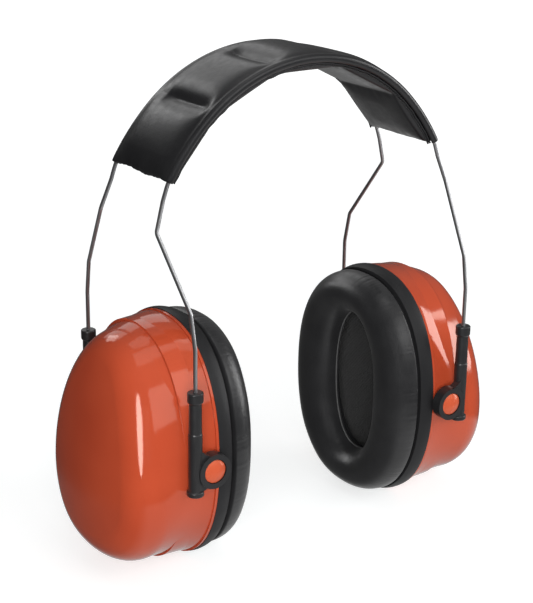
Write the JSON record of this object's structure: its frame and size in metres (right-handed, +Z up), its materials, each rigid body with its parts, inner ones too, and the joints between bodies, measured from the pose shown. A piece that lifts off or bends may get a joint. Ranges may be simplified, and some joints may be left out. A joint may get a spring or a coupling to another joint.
{
  "type": "hearing protection earmuffs",
  "caption": "Over-the-head hearing protection earmuffs: hollow ear cups with soft ring cushions on a padded sprung wire headband, with sliding height guides and tilting pivots.",
  "frame": {"origin": "on the supporting surface under the cups, midway between them and midway front to back", "axes": "+X across the head towards the right_ cup, +Y towards the back, +Z up"},
  "size_m": [0.2066, 0.0988, 0.221],
  "materials": {
    "cup_shell": "glossy injection moulded orange-red plastic",
    "pivot_button": "glossy orange-red plastic",
    "black_plastic": "satin black moulded plastic",
    "soft_vinyl": "fine-grained soft black vinyl",
    "foam": "dark open-cell foam",
    "gauze": "dark fine mesh",
    "spring_wire": "bright drawn spring steel wire"
  },
  "bodies": {
    "headband": {"front_arch_wire": "spring_wire", "rear_arch_wire": "spring_wire", "cover_top": "soft_vinyl", "cover_lining": "soft_vinyl", "band_pads": "foam"},
    "left_legs": {"left_front_leg_wire": "spring_wire", "left_rear_leg_wire": "spring_wire"},
    "left_guides": {"left_front_slide_guide": "black_plastic", "left_rear_slide_guide": "black_plastic"},
    "left_cup": {"left_outer_shell": "cup_shell", "left_seat_ring": "black_plastic", "left_cushion_backplate": "black_plastic", "left_cushion": "soft_vinyl", "left_liner_foam": "foam", "left_liner_gauze": "gauze", "left_front_pivot_stud": "pivot_button", "left_rear_pivot_stud": "pivot_button"},
    "right_legs": {"right_front_leg_wire": "spring_wire", "right_rear_leg_wire": "spring_wire"},
    "right_guides": {"right_front_slide_guide": "black_plastic", "right_rear_slide_guide": "black_plastic"},
    "right_cup": {"right_outer_shell": "cup_shell", "right_seat_ring": "black_plastic", "right_cushion_backplate": "black_plastic", "right_cushion": "soft_vinyl", "right_liner_foam": "foam", "right_liner_gauze": "gauze", "right_front_pivot_stud": "pivot_button", "right_rear_pivot_stud": "pivot_button"}
  },
  "joints": [
    {"name": "left_band_spread", "type": "hinge", "parent": "headband", "child": "left_legs", "pos_m": [-0.07349, 0, 0.16796], "axis": [0, 1, 0], "range_deg": [0, 18], "stiffness_Nm_per_rad": 4},
    {"name": "left_height_slide", "type": "slide", "parent": "left_legs", "child": "left_guides", "axis": [0, 0, 1], "range_m": [-0.014, 0.016]},
    {"name": "left_cup_tilt", "type": "hinge", "parent": "left_guides", "child": "left_cup", "pos_m": [-0.0656, 0, 0.0563], "axis": [0, 1, 0], "range_deg": [-20, 20]},
    {"name": "right_band_spread", "type": "hinge", "parent": "headband", "child": "right_legs", "pos_m": [0.07349, 0, 0.16796], "axis": [0, -1, 0], "range_deg": [0, 18], "stiffness_Nm_per_rad": 4},
    {"name": "right_height_slide", "type": "slide", "parent": "right_legs", "child": "right_guides", "axis": [0, 0, 1], "range_m": [-0.014, 0.016]},
    {"name": "right_cup_tilt", "type": "hinge", "parent": "right_guides", "child": "right_cup", "pos_m": [0.0656, 0, 0.0563], "axis": [0, -1, 0], "range_deg": [-20, 20]}
  ]
}
